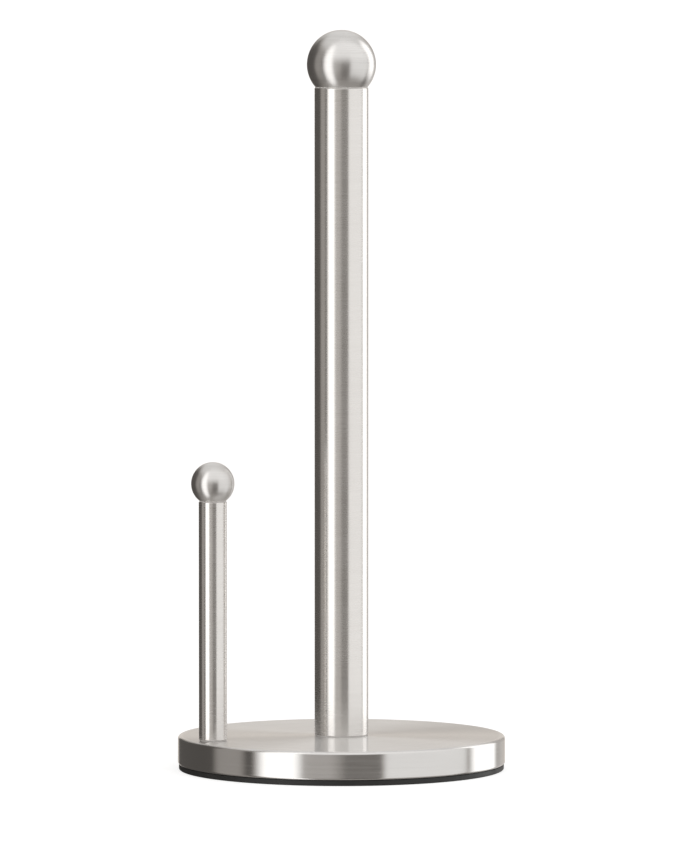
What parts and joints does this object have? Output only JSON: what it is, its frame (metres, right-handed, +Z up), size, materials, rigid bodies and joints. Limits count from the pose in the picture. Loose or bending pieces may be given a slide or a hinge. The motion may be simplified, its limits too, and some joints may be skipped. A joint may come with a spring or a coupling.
{
  "type": "paper towel holder",
  "caption": "Free-standing kitchen roll holder: weighted round base, tall centre post and short side post, each with a screwed-on ball finial.",
  "frame": {"origin": "centre of the base's underside, on the counter", "axes": "+Z up along the centre post; -X from the centre post to the side post"},
  "size_m": [0.152, 0.152, 0.343],
  "materials": {
    "cover_steel": "circular brushed stainless",
    "post_steel": "satin stainless, brushed round its axis",
    "ball_steel": "satin stainless, brushed round its axis",
    "plug_steel": "turned steel",
    "fastener_steel": "zinc plated steel",
    "ballast_iron": "black painted sand casting",
    "pad_rubber": "moulded black rubber",
    "washer_plastic": "natural nylon"
  },
  "bodies": {
    "stand": {"base_cover": "cover_steel", "base_weight": "ballast_iron", "base_pad": "pad_rubber", "main_post_tube": "post_steel", "main_post_foot_insert": "plug_steel", "main_post_top_insert": "plug_steel", "main_post_foot_washer": "washer_plastic", "main_post_bolt": "fastener_steel", "main_post_flat_washer": "fastener_steel", "main_post_lock_washer": "fastener_steel", "side_post_tube": "post_steel", "side_post_foot_insert": "plug_steel", "side_post_top_insert": "plug_steel", "side_post_foot_washer": "washer_plastic", "side_post_bolt": "fastener_steel", "side_post_flat_washer": "fastener_steel", "side_post_lock_washer": "fastener_steel"},
    "main_finial_lift": {"main_finial_washer": "washer_plastic"},
    "main_finial": {"main_finial_ball": "ball_steel", "main_finial_boss": "plug_steel", "main_finial_stud": "fastener_steel"},
    "side_finial_lift": {"side_finial_washer": "washer_plastic"},
    "side_finial": {"side_finial_ball": "ball_steel", "side_finial_boss": "plug_steel", "side_finial_stud": "fastener_steel"}
  },
  "joints": [
    {"name": "main_finial_rise", "type": "slide", "parent": "stand", "child": "main_finial_lift", "axis": [0, 0, 1], "range_m": [0, 0.008]},
    {"name": "main_finial_turn", "type": "hinge", "parent": "main_finial_lift", "child": "main_finial", "pos_m": [0, 0, 0.316], "axis": [0, 0, 1], "range_deg": [0, 2881]},
    {"name": "side_finial_rise", "type": "slide", "parent": "stand", "child": "side_finial_lift", "axis": [0, 0, 1], "range_m": [0, 0.0056]},
    {"name": "side_finial_turn", "type": "hinge", "parent": "side_finial_lift", "child": "side_finial", "pos_m": [-0.064, 0, 0.1265], "axis": [0, 0, 1], "range_deg": [0, 2881]}
  ],
  "couplings": [
    {"joint": "main_finial_turn", "follows": "main_finial_rise", "rad_per_m": 6283.2},
    {"joint": "side_finial_turn", "follows": "side_finial_rise", "rad_per_m": 8976}
  ]
}
